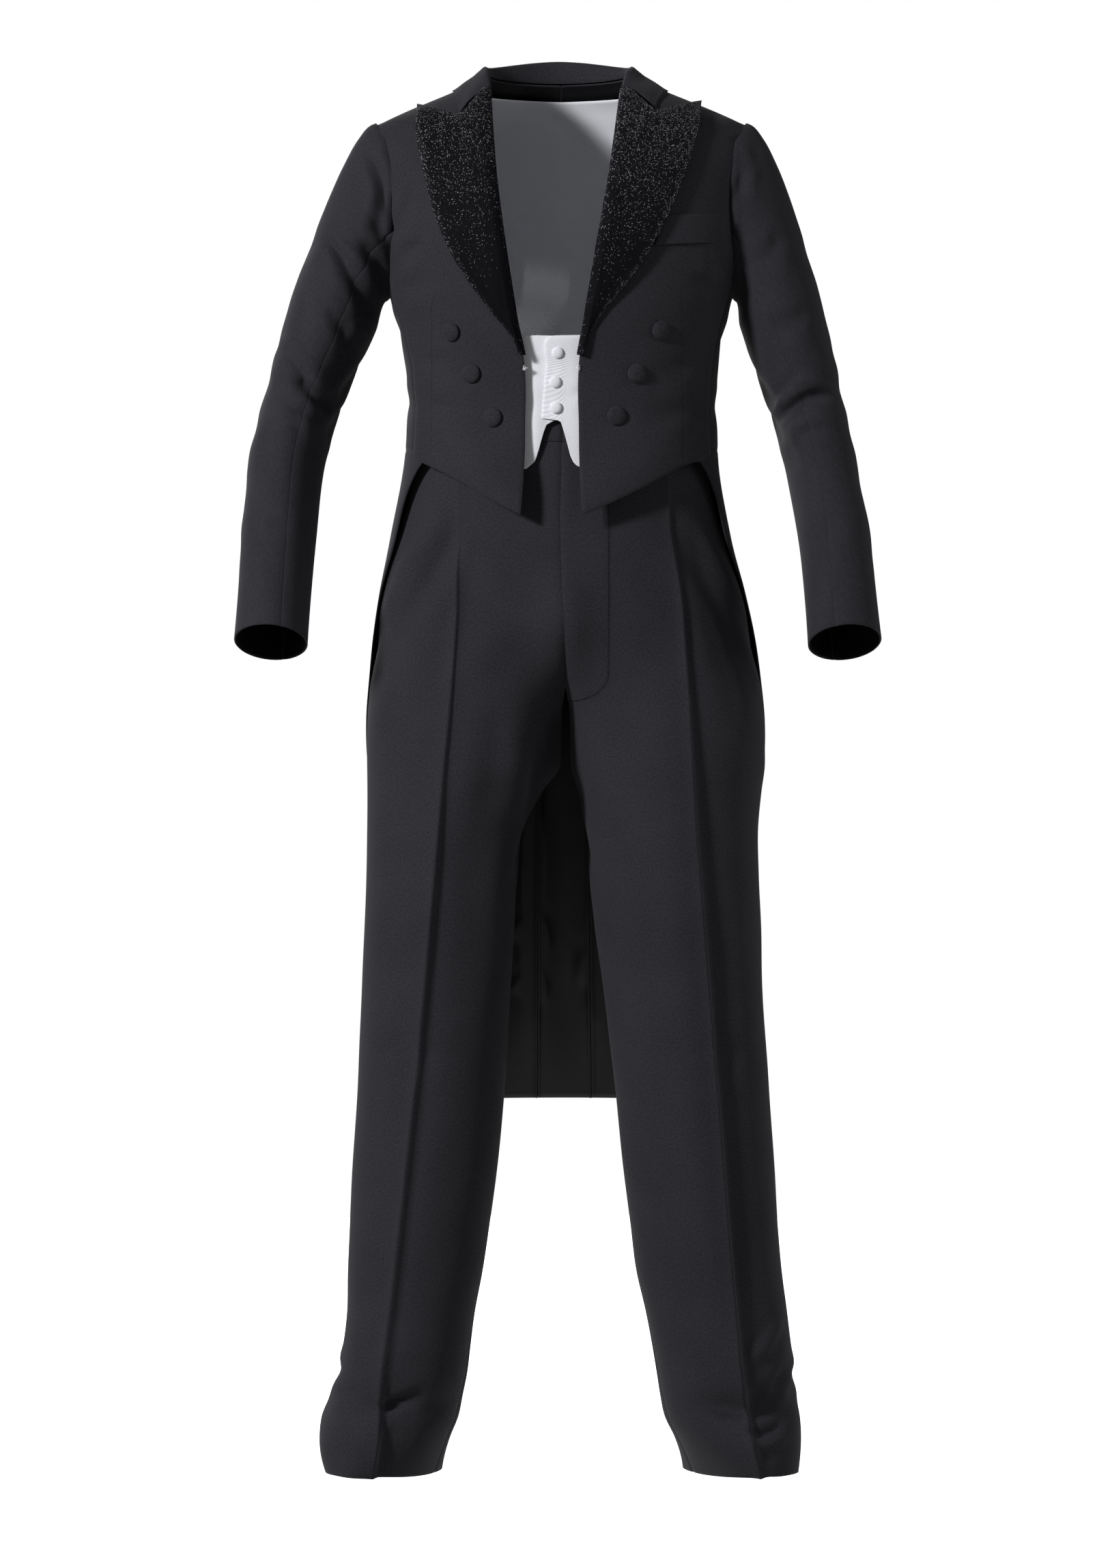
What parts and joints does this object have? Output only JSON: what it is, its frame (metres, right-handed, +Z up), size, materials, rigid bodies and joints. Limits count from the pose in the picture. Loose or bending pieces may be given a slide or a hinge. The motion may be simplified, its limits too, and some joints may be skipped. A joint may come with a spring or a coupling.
{
  "type": "tailcoat suit",
  "caption": "Worn tailcoat suit: black double-breasted tailcoat with glittering peak lapels, white pique waistcoat and straight black trousers, hollow inside.",
  "frame": {"origin": "centre of the neck, level with the back neck seam's foot, where the wearer holds the suit up, 1.56 m above the floor the wearer stands on", "axes": "+Z up, -Y towards the front of the suit, +X towards the wearer's left"},
  "size_m": [0.6924, 0.2954, 1.5793],
  "materials": {
    "black_wool": "matt wool barathea",
    "glitter_facing": "black facing with fine glitter in twill rows",
    "white_pique": "matt cotton pique",
    "hook_steel": "polished nickel-plated wire"
  },
  "bodies": {
    "root": {"coat_front_right": "black_wool", "coat_front_left": "black_wool", "coat_side_right": "black_wool", "coat_side_left": "black_wool", "coat_back_right": "black_wool", "coat_back_left": "black_wool", "coat_skirt_right": "black_wool", "coat_skirt_left": "black_wool", "coat_collar": "black_wool", "lapel_right": "glitter_facing", "lapel_left": "glitter_facing", "sleeve_top_right": "black_wool", "sleeve_under_right": "black_wool", "sleeve_top_left": "black_wool", "sleeve_under_left": "black_wool", "breast_welt": "black_wool", "front_button_right_1": "black_wool", "front_button_right_2": "black_wool", "front_button_right_3": "black_wool", "front_button_left_1": "black_wool", "front_button_left_2": "black_wool", "front_button_left_3": "black_wool", "cuff_button_right": "black_wool", "cuff_button_left": "black_wool", "front_hook": "hook_steel", "front_eye": "hook_steel", "waistcoat_front_right": "white_pique", "waistcoat_front_left": "white_pique", "waistcoat_back": "white_pique", "waistcoat_button_1": "white_pique", "waistcoat_button_2": "white_pique", "waistcoat_button_3": "white_pique", "trouser_front_right": "black_wool", "trouser_back_right": "black_wool", "trouser_front_left": "black_wool", "trouser_back_left": "black_wool", "waistband_right": "black_wool", "waistband_left": "black_wool"}
  },
  "joints": []
}
